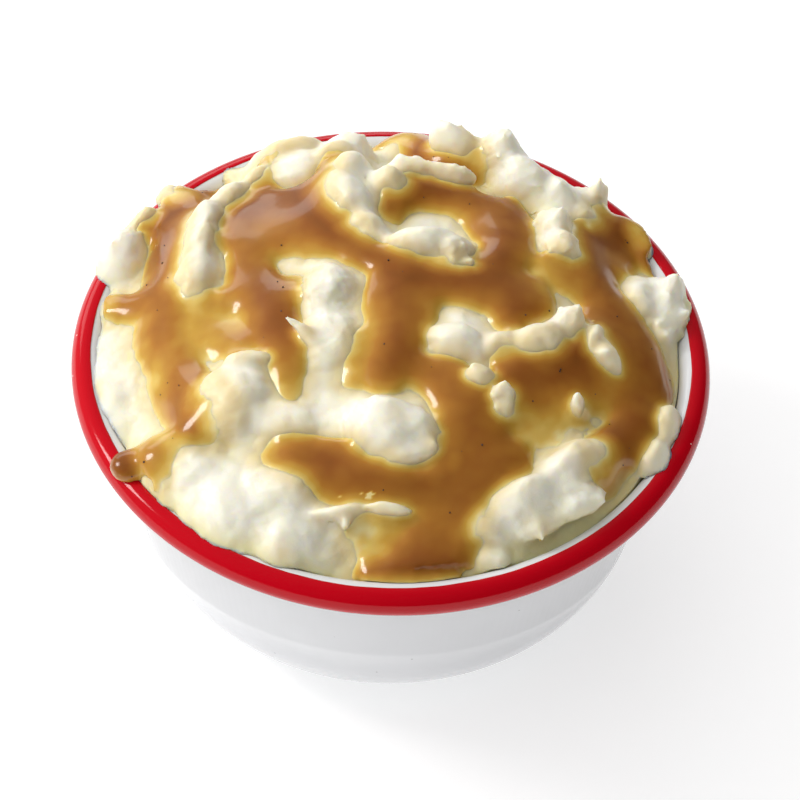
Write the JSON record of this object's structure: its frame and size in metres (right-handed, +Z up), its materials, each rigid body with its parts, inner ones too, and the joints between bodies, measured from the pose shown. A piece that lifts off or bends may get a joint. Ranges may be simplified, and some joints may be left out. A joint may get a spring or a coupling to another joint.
{
  "type": "mashed potato side",
  "caption": "Small round enamelled steel bowl with a rolled rim, heaped well above it with lumpy mashed potato under poured brown gravy.",
  "frame": {"origin": "centre of the bowl's flat base", "axes": "+Z up along the bowl's axis, -Y towards the side it is served from, +X to the right"},
  "size_m": [0.12, 0.12, 0.0716],
  "materials": {
    "white_enamel": "glossy vitreous enamel",
    "red_enamel": "glossy vitreous enamel with fine pale specks, on the rim only",
    "mash": "moist mashed potato, soft sheen",
    "gravy": "wet, smooth, slightly see-through"
  },
  "bodies": {
    "root": {"bowl": "white_enamel", "mash": "mash", "gravy": "gravy", "gravy_back_puddle": "gravy"}
  },
  "joints": []
}
